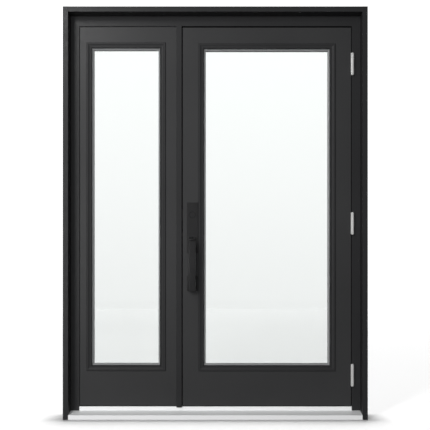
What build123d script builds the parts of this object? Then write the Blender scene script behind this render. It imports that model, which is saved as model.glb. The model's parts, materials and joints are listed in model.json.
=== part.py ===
"""Glazed steel entry door with a fixed sidelite, in its frame on an aluminium sill.

Millimetres. +Z is up, +X is to the right seen from outside and +Y points indoors.
The origin is at the middle of the frame's footprint, on the underside of the sill.
"""

import os

from build123d import *

os.makedirs("parts", exist_ok=True)

# Door slab and sidelite
slab_width = 914
slab_height = 2052
slab_thickness = 45
sidelite_width = 528
skin_thickness = 0.8
pan_gap = 1.0
door_gap = 4
top_gap = 8
bottom_gap = 6

# Frame
casing_thickness = 28
casing_round = 1
recess_depth = 85
jamb_depth = 98
jamb_face = 45
head_face = 54
mullion_width = 30
stop_projection = 14
seal_gap = 8
lip_thickness = 10
jamb_overlap = 27
mullion_overlap = 8
panel_clearance = 2
cover_thickness = 12
cover_drop = 3
cover_round = 2.5

# Sill and threshold
sill_nose = 24
sill_back = 35
sill_wall = 2.5
sill_chambers = 4
nose_round = 1.5
threshold_height = 21
threshold_setback = 3
threshold_wall = 2.5
threshold_round = 3

# Glazing
lite_face = 38
lite_lip = 16
lite_leg_clearance = 1
lite_edge = 4
lite_bevel = 2.5
lite_ridge = 7.5
lite_ridge_width = 9
lite_scoop = 3
lite_scoop_width = 22
lite_scoop_sag = 1.2
lite_bead = 5
lite_bead_start = 23.5
lite_bead_end = 27
lite_land = 2
glass_recess = 14
pane_thickness = 4
pane_clearance = 4
spacer_width = 8
spacer_setback = 5
door_side_face = 85
door_top_face = 86
door_bottom_face = 187
sidelite_side_face = 65
sidelite_top_face = 87

# Members inside the panels
hinge_stile_width = 42
lock_stile_width = 72
rail_height = 42

# Hinges
hinge_from_bottom = 166
hinge_from_top = 200
middle_hinge_share = 0.4815
leaf_height = 114
leaf_thickness = 2.4
leaf_reach = 38
leaf_corner = 6
barrel_radius = 9
barrel_standoff = 1.5
hinge_offset = 4
knuckle_count = 5
leaf_screw_shares = ((-0.36, 0.68), (-0.14, 0.3), (0.14, 0.3), (0.36, 0.68))
screw_radius = 2.4
screw_head_radius = 4.2
knuckle_gap = 0.3
pin_radius = 3.5
pin_clearance = 0.05
pin_cap = 3.5
pin_cap_radius = 7

# Lock and handle
backset = 53
handle_rise = 909
cylinder_rise = 126
plate_width = 62
plate_below = 82
plate_above = 67
plate_thickness = 8
plate_round = 2
cylinder_radius = 17
cylinder_shank_radius = 14
cylinder_projection = 5
cylinder_chamfer = 1.5
plug_radius = 8
plug_projection = 0.6
plug_length = 20
plug_clearance = 0.05
keyway_width = 2
keyway_height = 9
keyway_depth = 12
thumb_width = 28
thumb_thickness = 5
thumb_reach = 34
thumb_tail = 16
thumb_tip_drop = 9
thumb_slot_play = 4
thumb_pivot_radius = 2
thumb_pivot_reach = 4
grip_drop = 21
grip_length = 266
grip_width = 40
grip_thickness = 15
grip_standoff = 58
grip_bow = 5
grip_round = 4.5
grip_foot = 24
grip_corner = 16
rose_width = 60
rose_height = 82
rose_thickness = 7
inner_plate_width = 56
inner_plate_margin = 62
knob_radius = 27
knob_neck_radius = 11
knob_projection = 56
knob_rose_radius = 20
knob_rose_thickness = 4
spindle_radius = 5
thumbturn_radius = 14
thumbturn_base = 6
thumbturn_length = 34
thumbturn_width = 9
thumbturn_projection = 22
turn_clearance = 0.3
hole_clearance = 1

# Lock case and bolts
case_thickness = 18
case_depth = 68
case_below = 36
case_above = 38
faceplate_width = 25
faceplate_margin = 30
faceplate_thickness = 3
bolt_clearance = 0.3
latch_width = 13
latch_height = 20
latch_length = 30
latch_throw = 12
deadbolt_width = 16
deadbolt_height = 26
deadbolt_length = 38
deadbolt_throw = 20
strike_width = 30
strike_margin = 18
strike_thickness = 1.6
strike_clearance = 1.5
plate_screw_radius = 2
plate_screw_head_radius = 3.4

# Seals
seal_width = 11
seal_wall = 1.2
seal_inset = 0.5
seal_play = 0.3
sweep_inset = 5
sweep_play = 0.3
sweep_fins = 4
fin_thickness = 2.5
gasket_inset = 4

# Cuts run this far past the faces they open
overrun = 2

# Places across the width
door_opening = slab_width + 2 * door_gap
frame_width = 2 * (casing_thickness + jamb_face) + sidelite_width + mullion_width + door_opening
frame_right = frame_width / 2
frame_left = -frame_right
casing_right = frame_right - casing_thickness
casing_left = -casing_right
opening_right = casing_right - jamb_face
opening_left = -opening_right
slab_right = opening_right - door_gap
slab_left = slab_right - slab_width
mullion_right = slab_left - door_gap
mullion_left = mullion_right - mullion_width
post_left = mullion_left + mullion_overlap
panel_left = opening_left - jamb_overlap
panel_right = post_left - panel_clearance
pocket_left = panel_left - panel_clearance
lock_x = slab_left + backset

# Places through the depth
frame_depth = recess_depth + jamb_depth
front_y = -frame_depth / 2
rear_y = frame_depth / 2
face_y = front_y + recess_depth
slab_back = face_y + slab_thickness
slab_mid = face_y + slab_thickness / 2
stop_y = slab_back + seal_gap
panel_front = face_y + lip_thickness
panel_back = panel_front + slab_thickness
riser_y = face_y + threshold_setback
plate_front = face_y - plate_thickness

# Places up the height
threshold_top = sill_back + threshold_height
slab_bottom = threshold_top + bottom_gap
slab_top = slab_bottom + slab_height
head_z = slab_top + top_gap
casing_z = head_z + head_face
frame_top = casing_z + casing_thickness
head_stop = stop_projection + top_gap - door_gap
stop_z = head_z - head_stop
panel_top = head_z + jamb_overlap
pocket_top = panel_top + panel_clearance

# Hinges and their axis
hinge_x = opening_right - door_gap / 2 + hinge_offset
hinge_y = face_y - barrel_radius - barrel_standoff
hinge_heights = (
    slab_bottom + hinge_from_bottom,
    slab_bottom + middle_hinge_share * slab_height,
    slab_top - hinge_from_top,
)

# The thumb piece and the knob share one height, and the cylinder and the thumbturn another
thumb_height = slab_bottom + handle_rise
knob_height = thumb_height
cylinder_height = thumb_height + cylinder_rise
plate_bottom = thumb_height - plate_below
plate_height = plate_below + cylinder_rise + plate_above
grip_top = thumb_height - grip_drop
grip_bottom = grip_top - grip_length
case_bottom = thumb_height - case_below
case_height = case_below + cylinder_rise + case_above
faceplate_height = case_height + 2 * faceplate_margin
inner_plate_height = cylinder_rise + 2 * inner_plate_margin
thumb_pivot_y = face_y - plate_thickness / 2


def save(piece, name):
    """Label a finished piece and write it."""
    piece.label = name
    export_step(piece, f"parts/{name}.step")


def outline(plane, points):
    """Closed straight-sided face on a plane."""
    with BuildSketch(plane) as face:
        with BuildLine():
            Polyline(*points, close=True)
        make_face()
    return face.sketch


def rectangle_points(first, second):
    """Corners of a rectangle between two (low, high) ranges."""
    return [
        (first[0], second[0]),
        (first[1], second[0]),
        (first[1], second[1]),
        (first[0], second[1]),
    ]


def block(xs, ys, zs, mode=Mode.ADD):
    """Box between (low, high) limits on each axis, in the current part."""
    centre = (sum(xs) / 2, sum(ys) / 2, sum(zs) / 2)
    with Locations(centre):
        Box(xs[1] - xs[0], ys[1] - ys[0], zs[1] - zs[0], mode=mode)


def long_edges(builder, axis, plane_axis, index):
    """Edges along one axis, in the group at one end of another axis."""
    return builder.edges().filter_by(axis).group_by(plane_axis)[index]


def shrink(limits, margin):
    """Range drawn in by a margin at both ends."""
    return (limits[0] + margin, limits[1] - margin)


def cut_screw_hole(place, facing, radius, head_radius, depth):
    """Countersunk hole through a plate, from its visible face, in the current part."""
    with Locations(Plane(origin=place, z_dir=facing)):
        CounterSinkHole(radius, head_radius, depth)


# Frame: side jambs stand on the sill, and the head runs between them
def side_jamb_profile(inner, outer, with_stop):
    """Plan of a side jamb from its face back to the room side."""
    points = [(inner, face_y), (outer, face_y), (outer, rear_y)]
    if with_stop:
        stop_x = inner - stop_projection
        points += [(stop_x, rear_y), (stop_x, stop_y), (inner, stop_y)]
    else:
        points += [(inner, rear_y)]
    return outline(Plane.XY, points)


def cut_leaf_mortises():
    """Shallow seats for the three frame leaves, in the current part."""
    for height in hinge_heights:
        block(
            (opening_right - overrun, opening_right + skin_thickness),
            (face_y - overrun, face_y + leaf_reach),
            (height - leaf_height / 2, height + leaf_height / 2),
            Mode.SUBTRACT,
        )


with BuildPart() as hinge_jamb:
    extrude(side_jamb_profile(opening_right, frame_right, True), amount=frame_top)
    block(
        (opening_left, casing_right),
        (front_y, rear_y + overrun),
        (-overrun, sill_back),
        Mode.SUBTRACT,
    )
    block(
        (opening_right - stop_projection - overrun, opening_right),
        (riser_y, rear_y + overrun),
        (0, threshold_top),
        Mode.SUBTRACT,
    )
    block(
        (opening_right - stop_projection - overrun, opening_right),
        (face_y, rear_y + overrun),
        (head_z, frame_top + overrun),
        Mode.SUBTRACT,
    )
    cut_leaf_mortises()
save(hinge_jamb.part, "hinge_jamb")

with BuildPart() as left_jamb:
    extrude(side_jamb_profile(opening_left, frame_left, False), amount=frame_top)
    block(
        (casing_left, opening_right),
        (front_y, rear_y + overrun),
        (-overrun, sill_back),
        Mode.SUBTRACT,
    )
    block(
        (pocket_left, opening_left + overrun),
        (panel_front, rear_y + overrun),
        (threshold_top, pocket_top),
        Mode.SUBTRACT,
    )
save(left_jamb.part, "left_jamb")

with BuildPart() as head_jamb:
    head_plan = rectangle_points((opening_left, opening_right), (face_y, rear_y))
    extrude(outline(Plane.XY.offset(head_z), head_plan), amount=frame_top - head_z)
    block(
        (opening_left - overrun, post_left),
        (panel_front, rear_y + overrun),
        (head_z - overrun, pocket_top),
        Mode.SUBTRACT,
    )
    block(
        (mullion_right + stop_projection, opening_right - stop_projection),
        (stop_y, rear_y),
        (stop_z, head_z),
    )
save(head_jamb.part, "head_jamb")

# The mullion carries the sidelite on its left and stops the door on its right
bolt_pockets = (
    (knob_height, latch_width, latch_height, latch_throw),
    (cylinder_height, deadbolt_width, deadbolt_height, deadbolt_throw),
)

with BuildPart() as mullion:
    mullion_plan = [
        (mullion_left, face_y),
        (mullion_right, face_y),
        (mullion_right, stop_y),
        (mullion_right + stop_projection, stop_y),
        (mullion_right + stop_projection, rear_y),
        (post_left, rear_y),
        (post_left, panel_front),
        (mullion_left, panel_front),
    ]
    extrude(outline(Plane.XY.offset(threshold_top), mullion_plan), amount=head_z - threshold_top)
    for height, width, tall, throw in bolt_pockets:
        half_width = width / 2 + strike_clearance
        half_height = tall / 2 + strike_clearance
        block(
            (slab_left - throw - strike_clearance, mullion_right + overrun),
            (slab_mid - half_width, slab_mid + half_width),
            (height - half_height, height + half_height),
            Mode.SUBTRACT,
        )
        block(
            (mullion_right - strike_thickness, mullion_right + overrun),
            (slab_mid - strike_width / 2, slab_mid + strike_width / 2),
            (height - half_height - strike_margin, height + half_height + strike_margin),
            Mode.SUBTRACT,
        )
save(mullion.part, "mullion")


def strike_plate(height, width, tall):
    """Flat plate let into the mullion, with the bolt's hole through it."""
    half_width = width / 2 + strike_clearance
    half_height = tall / 2 + strike_clearance
    plate_half = half_height + strike_margin
    with BuildPart() as plate:
        block(
            (mullion_right - strike_thickness, mullion_right),
            (slab_mid - strike_width / 2, slab_mid + strike_width / 2),
            (height - plate_half, height + plate_half),
        )
        fillet(plate.edges().filter_by(Axis.X), strike_margin / 3)
        block(
            (mullion_right - strike_thickness - overrun, mullion_right + overrun),
            (slab_mid - half_width, slab_mid + half_width),
            (height - half_height, height + half_height),
            Mode.SUBTRACT,
        )
        screw_level = half_height + strike_margin / 2
        for level in (height - screw_level, height + screw_level):
            cut_screw_hole(
                (mullion_right, slab_mid, level),
                (1, 0, 0),
                plate_screw_radius,
                plate_screw_head_radius,
                strike_thickness + overrun,
            )
    return plate.part


save(strike_plate(knob_height, latch_width, latch_height), "latch_strike")
save(strike_plate(cylinder_height, deadbolt_width, deadbolt_height), "deadbolt_strike")

with BuildPart() as mullion_cover:
    block(
        (mullion_left, mullion_right),
        (face_y - cover_thickness, face_y),
        (threshold_top - cover_drop, head_z),
    )
    fillet(long_edges(mullion_cover, Axis.Z, Axis.Y, 0), cover_round)
    fillet(mullion_cover.faces().sort_by(Axis.Z)[0].edges().sort_by(Axis.Y)[0], cover_round)
save(mullion_cover.part, "mullion_cover")


# Casing: boards that carry the frame forward of the door
def casing_board(xs, zs, along):
    """Casing board from the frame's front edge to the jamb's face."""
    with BuildPart() as board:
        block(xs, (front_y, face_y), zs)
        fillet(long_edges(board, along, Axis.Y, 0), casing_round)
    return board.part


save(casing_board((frame_left, casing_left), (0, frame_top), Axis.Z), "left_casing")
save(casing_board((casing_right, frame_right), (0, frame_top), Axis.Z), "right_casing")
save(casing_board((casing_left, casing_right), (casing_z, frame_top), Axis.X), "head_casing")


# Sill: hollow extrusion with a sloped top, and a raised threshold on its back half
def sill_top(y):
    """Height of the sill's top surface at a depth."""
    rise_share = min((y - front_y) / (riser_y - front_y), 1)
    return sill_nose + (sill_back - sill_nose) * rise_share


def sill_chamber(start, end):
    """Section of one hollow of the sill between two depths."""
    middle = min(max(start, riser_y), end)
    depths = sorted({start, middle, end}, reverse=True)
    points = [(start, sill_wall), (end, sill_wall)]
    points += [(y, sill_top(y) - sill_wall) for y in depths]
    return outline(Plane.YZ.offset(casing_left - overrun), points)


with BuildPart() as sill:
    sill_section = [
        (front_y, 0),
        (front_y, sill_nose),
        (riser_y, sill_back),
        (rear_y, sill_back),
        (rear_y, 0),
    ]
    extrude(outline(Plane.YZ.offset(casing_left), sill_section), amount=casing_right - casing_left)
    fillet(long_edges(sill, Axis.X, Axis.Y, 0), nose_round)
    chamber_pitch = (frame_depth - sill_wall) / sill_chambers
    for number in range(sill_chambers):
        chamber_start = front_y + sill_wall + number * chamber_pitch
        chamber_end = chamber_start + chamber_pitch - sill_wall
        extrude(
            sill_chamber(chamber_start, chamber_end),
            amount=casing_right - casing_left + 2 * overrun,
            mode=Mode.SUBTRACT,
        )
save(sill.part, "sill")

with BuildPart() as threshold:
    block((opening_left, opening_right), (riser_y, rear_y), (sill_back, threshold_top))
    fillet(
        long_edges(threshold, Axis.X, Axis.Z, -1).sort_by(Axis.Y)[0],
        threshold_round,
    )
    block(
        (opening_left - overrun, opening_right + overrun),
        (riser_y + threshold_wall, rear_y - threshold_wall),
        (sill_back - overrun, threshold_top - threshold_wall),
        Mode.SUBTRACT,
    )
    for web_x in (mullion_left, mullion_right):
        block(
            (web_x, web_x + threshold_wall),
            (riser_y, rear_y),
            (sill_back, threshold_top - threshold_wall),
        )
save(threshold.part, "threshold")


# Weatherstrips: hollow bulbs on the stops, just clear of the closed door
def bulb_face(plane, base, crown):
    """D-shaped face: a flat base along the first axis, and a crown along the second."""
    middle = sum(base) / 2
    with BuildSketch(plane) as face:
        with BuildLine():
            Line((base[0], 0), (base[1], 0))
            ThreePointArc((base[1], 0), (middle, crown), (base[0], 0))
        make_face()
    return face.sketch


def bulb_strip(plane, base, length):
    """Bulb seal along the plane's normal, hollow inside."""
    crown = stop_y - slab_back - seal_play
    with BuildPart() as strip:
        extrude(bulb_face(plane, base, crown), amount=length)
        start = plane.origin - plane.z_dir * overrun + plane.y_dir * seal_wall
        hollow = Plane(start, x_dir=plane.x_dir, z_dir=plane.z_dir)
        extrude(
            bulb_face(hollow, shrink(base, 2 * seal_wall), crown - 2 * seal_wall),
            amount=length + 2 * overrun,
            mode=Mode.SUBTRACT,
        )
    return strip.part


head_seal_width = seal_width + top_gap - door_gap
head_seal_top = head_z - seal_inset
side_seal_plane = Plane((0, stop_y, threshold_top), x_dir=(-1, 0, 0), z_dir=(0, 0, 1))
latch_seal_start = -mullion_right - seal_inset
hinge_seal_start = -opening_right + seal_inset
latch_seal_base = (latch_seal_start - seal_width, latch_seal_start)
hinge_seal_base = (hinge_seal_start, hinge_seal_start + seal_width)
save(bulb_strip(side_seal_plane, latch_seal_base, head_z - threshold_top), "latch_side_weatherstrip")
save(bulb_strip(side_seal_plane, hinge_seal_base, head_z - threshold_top), "hinge_side_weatherstrip")
side_seal_room = seal_width + 2 * seal_inset
head_seal_plane = Plane((mullion_right + side_seal_room, stop_y, 0), x_dir=(0, 0, 1), z_dir=(1, 0, 0))
head_seal_base = (head_seal_top - head_seal_width, head_seal_top)
save(bulb_strip(head_seal_plane, head_seal_base, door_opening - 2 * side_seal_room), "head_weatherstrip")


# Glazing: an opening is its (low, high) ranges, to the outside of the lite frame
def lite_section(plane):
    """Moulded section of a lite frame: first axis inwards, second axis proud of the face."""
    leg_start = lite_lip + lite_leg_clearance
    scoop_middle = (lite_ridge_width + lite_scoop_width) / 2
    scoop_height = (lite_ridge + lite_scoop) / 2 - lite_scoop_sag
    with BuildSketch(plane) as section:
        with BuildLine():
            Polyline(
                (leg_start, -glass_recess),
                (leg_start, 0),
                (0, 0),
                (0, lite_edge),
                (lite_bevel, lite_ridge),
                (lite_ridge_width, lite_ridge),
            )
            ThreePointArc(
                (lite_ridge_width, lite_ridge),
                (scoop_middle, scoop_height),
                (lite_scoop_width, lite_scoop),
            )
            Polyline(
                (lite_scoop_width, lite_scoop),
                (lite_bead_start, lite_bead),
                (lite_bead_end, lite_bead),
                (lite_face, lite_land - glass_recess),
                (lite_face, -glass_recess),
                (leg_start, -glass_recess),
            )
        make_face()
    return section.sketch


def lite_member(origin, inward, outward, length):
    """One mitred side of a lite frame."""
    along = inward.cross(outward)
    with BuildPart() as member:
        section_plane = Plane(origin - along * (length / 2), x_dir=inward, z_dir=along)
        extrude(lite_section(section_plane), amount=length)
        mitre_plane = Plane(origin, x_dir=along, z_dir=outward)
        half = length / 2
        mitre = [
            (-half, 0),
            (half, 0),
            (half - lite_face, lite_face),
            (-half + lite_face, lite_face),
        ]
        extrude(outline(mitre_plane, mitre), amount=slab_thickness, both=True, mode=Mode.INTERSECT)
    return member.part


def lite_frame(xs, zs, face, outward):
    """Four mitred members around a lite, on one face of its panel."""
    middle_x = sum(xs) / 2
    middle_z = sum(zs) / 2
    wide = xs[1] - xs[0]
    tall = zs[1] - zs[0]
    sides = (
        (Vector(xs[0], face, middle_z), Vector(1, 0, 0), tall),
        (Vector(xs[1], face, middle_z), Vector(-1, 0, 0), tall),
        (Vector(middle_x, face, zs[0]), Vector(0, 0, 1), wide),
        (Vector(middle_x, face, zs[1]), Vector(0, 0, -1), wide),
    )
    return Compound(children=[lite_member(origin, inward, outward, length) for origin, inward, length in sides])


def pane(xs, zs, start):
    """Sheet of glass behind the lite frame's lip."""
    margin = lite_lip + pane_clearance
    with BuildPart() as sheet:
        block(shrink(xs, margin), (start, start + pane_thickness), shrink(zs, margin))
    return sheet.part


def pane_spacer(xs, zs, front):
    """Hollow bar that keeps the two panes apart."""
    outer = lite_lip + pane_clearance + spacer_setback
    inner = outer + spacer_width
    first_pane = front + glass_recess + pane_thickness
    second_pane = front + slab_thickness - glass_recess - pane_thickness
    gap = (first_pane, second_pane)
    with BuildPart() as bar:
        block(shrink(xs, outer), gap, shrink(zs, outer))
        block(shrink(xs, inner), shrink(gap, -overrun), shrink(zs, inner), Mode.SUBTRACT)
    return bar.part


def glaze(name, xs, zs, front):
    """Write the glazing of one panel."""
    back = front + slab_thickness
    save(lite_frame(xs, zs, front, Vector(0, -1, 0)), f"{name}_outer_lite_frame")
    save(lite_frame(xs, zs, back, Vector(0, 1, 0)), f"{name}_inner_lite_frame")
    save(pane(xs, zs, front + glass_recess), f"{name}_outer_pane")
    save(pane(xs, zs, back - glass_recess - pane_thickness), f"{name}_inner_pane")
    save(pane_spacer(xs, zs, front), f"{name}_spacer")


door_lite_x = (slab_left + door_side_face, slab_right - door_side_face)
door_lite_z = (slab_bottom + door_bottom_face, slab_top - door_top_face)
sidelite_lite_x = (panel_left + sidelite_side_face, panel_right - sidelite_side_face)
sidelite_lite_z = (door_lite_z[0], head_z - sidelite_top_face)
glaze("door", door_lite_x, door_lite_z, face_y)
glaze("sidelite", sidelite_lite_x, sidelite_lite_z, panel_front)


# Steel skins: shallow folded pans, with the lite's opening cut through
def cut_lite(xs, zs, ys):
    """Opening for the glass and the lite frame's leg, in the current part."""
    block(shrink(xs, lite_lip), shrink(ys, -overrun), shrink(zs, lite_lip), Mode.SUBTRACT)


def cut_door_hardware():
    """Hinge seats, faceplate seat and bores for the lock, in the current part."""
    for height in hinge_heights:
        block(
            (slab_right - skin_thickness, slab_right + overrun),
            (face_y - overrun, face_y + leaf_reach),
            (height - leaf_height / 2, height + leaf_height / 2),
            Mode.SUBTRACT,
        )
    case_middle = case_bottom + case_height / 2
    half_face = faceplate_height / 2
    block(
        (slab_left - overrun, slab_left + faceplate_thickness),
        (slab_mid - faceplate_width / 2, slab_mid + faceplate_width / 2),
        (case_middle - half_face, case_middle + half_face),
        Mode.SUBTRACT,
    )
    block(
        (slab_left, slab_left + case_depth),
        (slab_mid - case_thickness / 2, slab_mid + case_thickness / 2),
        (case_bottom, case_bottom + case_height),
        Mode.SUBTRACT,
    )
    bores = (
        (cylinder_height, cylinder_shank_radius + hole_clearance),
        (knob_height, thumb_width / 2 + hole_clearance),
    )
    for height, radius in bores:
        with Locations(Plane(origin=(lock_x, slab_mid, height), z_dir=(0, 1, 0))):
            Cylinder(radius, slab_thickness + 2 * overrun, mode=Mode.SUBTRACT)


def skin_pan(xs, zs, ys, open_towards):
    """Folded steel skin: a face sheet with returns round all four edges."""
    with BuildPart() as pan:
        block(xs, ys, zs)
        if open_towards > 0:
            hollow = (ys[0] + skin_thickness, ys[1] + overrun)
        else:
            hollow = (ys[0] - overrun, ys[1] - skin_thickness)
        block(shrink(xs, skin_thickness), hollow, shrink(zs, skin_thickness), Mode.SUBTRACT)
    return pan.part


pan_depth = (slab_thickness - pan_gap) / 2
slab_x = (slab_left, slab_right)
slab_z = (slab_bottom, slab_top)
panel_x = (panel_left, panel_right)
panel_z = (slab_bottom, panel_top)

for name, xs, zs, front, lite_x, lite_z in (
    ("door", slab_x, slab_z, face_y, door_lite_x, door_lite_z),
    ("sidelite", panel_x, panel_z, panel_front, sidelite_lite_x, sidelite_lite_z),
):
    back = front + slab_thickness
    for side, ys, open_towards in (
        ("outer", (front, front + pan_depth), 1),
        ("inner", (back - pan_depth, back), -1),
    ):
        with BuildPart() as skin:
            add(skin_pan(xs, zs, ys, open_towards))
            cut_lite(lite_x, lite_z, ys)
            if name == "door":
                cut_door_hardware()
        save(skin.part, f"{name}_{side}_skin")

# Stiles, rails and foam between the skins
inside_x = shrink(slab_x, skin_thickness)
inside_y = shrink((face_y, slab_back), skin_thickness)
inside_z = shrink(slab_z, skin_thickness)
lock_stile_edge = inside_x[0] + lock_stile_width
hinge_stile_edge = inside_x[1] - hinge_stile_width

with BuildPart() as door_hinge_stile:
    block((hinge_stile_edge, inside_x[1]), inside_y, inside_z)
save(door_hinge_stile.part, "door_hinge_stile")

with BuildPart() as door_lock_stile:
    block((inside_x[0], lock_stile_edge), inside_y, inside_z)
    cut_door_hardware()
save(door_lock_stile.part, "door_lock_stile")


def rail_pair(xs, ys, zs, height, bottom_height):
    """Top and bottom rails of one panel."""
    with BuildPart() as top_rail:
        block(xs, ys, (zs[1] - height, zs[1]))
    with BuildPart() as bottom_rail:
        block(xs, ys, (zs[0], zs[0] + bottom_height))
    return Compound(children=[bottom_rail.part, top_rail.part])


rails_x = (lock_stile_edge, hinge_stile_edge)
save(rail_pair(rails_x, inside_y, inside_z, rail_height, rail_height), "door_rails")

with BuildPart() as door_core:
    block(rails_x, inside_y, shrink(inside_z, rail_height))
    cut_lite(door_lite_x, door_lite_z, inside_y)
save(door_core.part, "door_core")

side_inside_x = shrink(panel_x, skin_thickness)
side_inside_y = shrink((panel_front, panel_front + slab_thickness), skin_thickness)
side_inside_z = shrink(panel_z, skin_thickness)
side_cut_x = shrink(sidelite_lite_x, lite_lip)
side_cut_z = shrink(sidelite_lite_z, lite_lip)
sidelite_stiles = []
for stile_x in ((side_inside_x[0], side_cut_x[0]), (side_cut_x[1], side_inside_x[1])):
    with BuildPart() as sidelite_stile:
        block(stile_x, side_inside_y, side_inside_z)
    sidelite_stiles.append(sidelite_stile.part)
save(Compound(children=sidelite_stiles), "sidelite_stiles")
save(
    rail_pair(
        side_cut_x,
        side_inside_y,
        side_inside_z,
        side_inside_z[1] - side_cut_z[1],
        side_cut_z[0] - side_inside_z[0],
    ),
    "sidelite_rails",
)

with BuildPart() as sidelite_gasket:
    block(
        panel_x,
        shrink((panel_front, panel_back), gasket_inset),
        (threshold_top, slab_bottom),
    )
save(sidelite_gasket.part, "sidelite_gasket")

# Beads hold the sidelite from the room side, in line with the door's stops
bead_y = (panel_back, rear_y)
bead_left = opening_left + stop_projection
bead_right = post_left - stop_projection
bead_bottom = slab_bottom + stop_projection
bead_ranges = (
    ((pocket_left, bead_left), (threshold_top, pocket_top)),
    ((bead_right, post_left), (threshold_top, pocket_top)),
    ((bead_left, bead_right), (stop_z, pocket_top)),
    ((bead_left, bead_right), (threshold_top, bead_bottom)),
)
sidelite_beads = []
for bead_x, bead_z in bead_ranges:
    with BuildPart() as bead:
        block(bead_x, bead_y, bead_z)
    sidelite_beads.append(bead.part)
save(Compound(children=sidelite_beads), "sidelite_beads")

# Sweep: a carrier under the slab with fins that reach for the threshold
with BuildPart() as door_sweep:
    sweep_y = shrink((face_y, slab_back), sweep_inset)
    carrier_bottom = slab_bottom - fin_thickness
    block(slab_x, sweep_y, (carrier_bottom, slab_bottom))
    fin_pitch = (sweep_y[1] - sweep_y[0] - fin_thickness) / (sweep_fins - 1)
    for number in range(sweep_fins):
        fin_y = sweep_y[0] + number * fin_pitch
        block(slab_x, (fin_y, fin_y + fin_thickness), (threshold_top + sweep_play, carrier_bottom))
save(door_sweep.part, "door_sweep")

# Hinges: knuckles alternate between the frame leaf and the door leaf round one pin
knuckle_pitch = leaf_height / knuckle_count


def hinge_leaf(height, inner_x, outer_x, first, facing):
    """Leaf with every second knuckle, from the first one given, and countersunk on its visible face."""
    bottom = height - leaf_height / 2
    plate_start = hinge_y + barrel_radius + knuckle_gap
    bore_radius = pin_radius + pin_clearance
    with BuildPart() as leaf:
        block(
            (inner_x, outer_x),
            (plate_start, face_y + leaf_reach),
            (bottom, bottom + leaf_height),
        )
        fillet(long_edges(leaf, Axis.X, Axis.Y, -1), leaf_corner)
        for number in range(first, knuckle_count, 2):
            low = bottom + number * knuckle_pitch + knuckle_gap / 2
            high = low + knuckle_pitch - knuckle_gap
            block((inner_x, outer_x), (hinge_y, plate_start), (low, high))
            with Locations((hinge_x, hinge_y, (low + high) / 2)):
                Cylinder(barrel_radius, high - low)
        with Locations((hinge_x, hinge_y, height)):
            Cylinder(bore_radius, leaf_height + overrun, mode=Mode.SUBTRACT)
        face_x = outer_x if facing > 0 else inner_x
        plate_length = face_y + leaf_reach - plate_start
        for level_share, reach_share in leaf_screw_shares:
            cut_screw_hole(
                (face_x, plate_start + reach_share * plate_length, height + level_share * leaf_height),
                (facing, 0, 0),
                screw_radius,
                screw_head_radius,
                leaf_thickness + overrun,
            )
    return leaf.part


def hinge_pin(height):
    """Pin with a domed cap at each end."""
    half = leaf_height / 2
    with BuildPart() as pin:
        with Locations((hinge_x, hinge_y, height)):
            Cylinder(pin_radius, leaf_height)
        for level, way in ((height + half, 1), (height - half, -1)):
            with BuildSketch(Plane((hinge_x, hinge_y, level), z_dir=(0, 0, way))):
                Circle(pin_cap_radius)
            extrude(amount=pin_cap)
        caps = pin.edges().filter_by(GeomType.CIRCLE).group_by(Axis.Z)
        fillet(caps[0] + caps[-1], pin_cap / 2)
    return pin.part


frame_leaf_x = (opening_right + skin_thickness - leaf_thickness, opening_right + skin_thickness)
door_leaf_x = (slab_right - skin_thickness, slab_right - skin_thickness + leaf_thickness)
for hinge_name, hinge_height in zip(("bottom", "middle", "top"), hinge_heights):
    save(hinge_leaf(hinge_height, *frame_leaf_x, 0, -1), f"{hinge_name}_hinge_frame_leaf")
    save(hinge_leaf(hinge_height, *door_leaf_x, 1, 1), f"{hinge_name}_hinge_door_leaf")
    save(hinge_pin(hinge_height), f"{hinge_name}_hinge_pin")

# Lock case with its faceplate, bored for the spindle and the cylinder's tail
with BuildPart() as lock_case:
    block(
        (slab_left + faceplate_thickness, slab_left + case_depth),
        (slab_mid - case_thickness / 2, slab_mid + case_thickness / 2),
        (case_bottom, case_bottom + case_height),
    )
    faceplate_middle = case_bottom + case_height / 2
    block(
        (slab_left, slab_left + faceplate_thickness),
        (slab_mid - faceplate_width / 2, slab_mid + faceplate_width / 2),
        (faceplate_middle - faceplate_height / 2, faceplate_middle + faceplate_height / 2),
    )
    for height, width, tall, length in (
        (knob_height, latch_width, latch_height, latch_length),
        (cylinder_height, deadbolt_width, deadbolt_height, deadbolt_length),
    ):
        half_width = width / 2 + bolt_clearance
        half_height = tall / 2 + bolt_clearance
        block(
            (slab_left - overrun, slab_left + length + bolt_clearance),
            (slab_mid - half_width, slab_mid + half_width),
            (height - half_height, height + half_height),
            Mode.SUBTRACT,
        )
    for height in (knob_height, cylinder_height):
        with Locations(Plane(origin=(lock_x, slab_mid, height), z_dir=(0, 1, 0))):
            Cylinder(spindle_radius + turn_clearance, slab_thickness, mode=Mode.SUBTRACT)
    faceplate_screw = (faceplate_height - faceplate_margin) / 2
    for level in (faceplate_middle - faceplate_screw, faceplate_middle + faceplate_screw):
        cut_screw_hole(
            (slab_left, slab_mid, level),
            (-1, 0, 0),
            plate_screw_radius,
            plate_screw_head_radius,
            faceplate_thickness + overrun,
        )
save(lock_case.part, "lock_case")

with BuildPart() as latch_bolt:
    latch_x = (slab_left, slab_left + latch_length)
    latch_y = (slab_mid - latch_width / 2, slab_mid + latch_width / 2)
    latch_plan = [
        (latch_x[0], latch_y[0]),
        (latch_x[1], latch_y[0]),
        (latch_x[1], latch_y[1]),
        (latch_x[0] + latch_throw, latch_y[1]),
    ]
    extrude(outline(Plane.XY.offset(knob_height - latch_height / 2), latch_plan), amount=latch_height)
save(latch_bolt.part, "latch_bolt")

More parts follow.
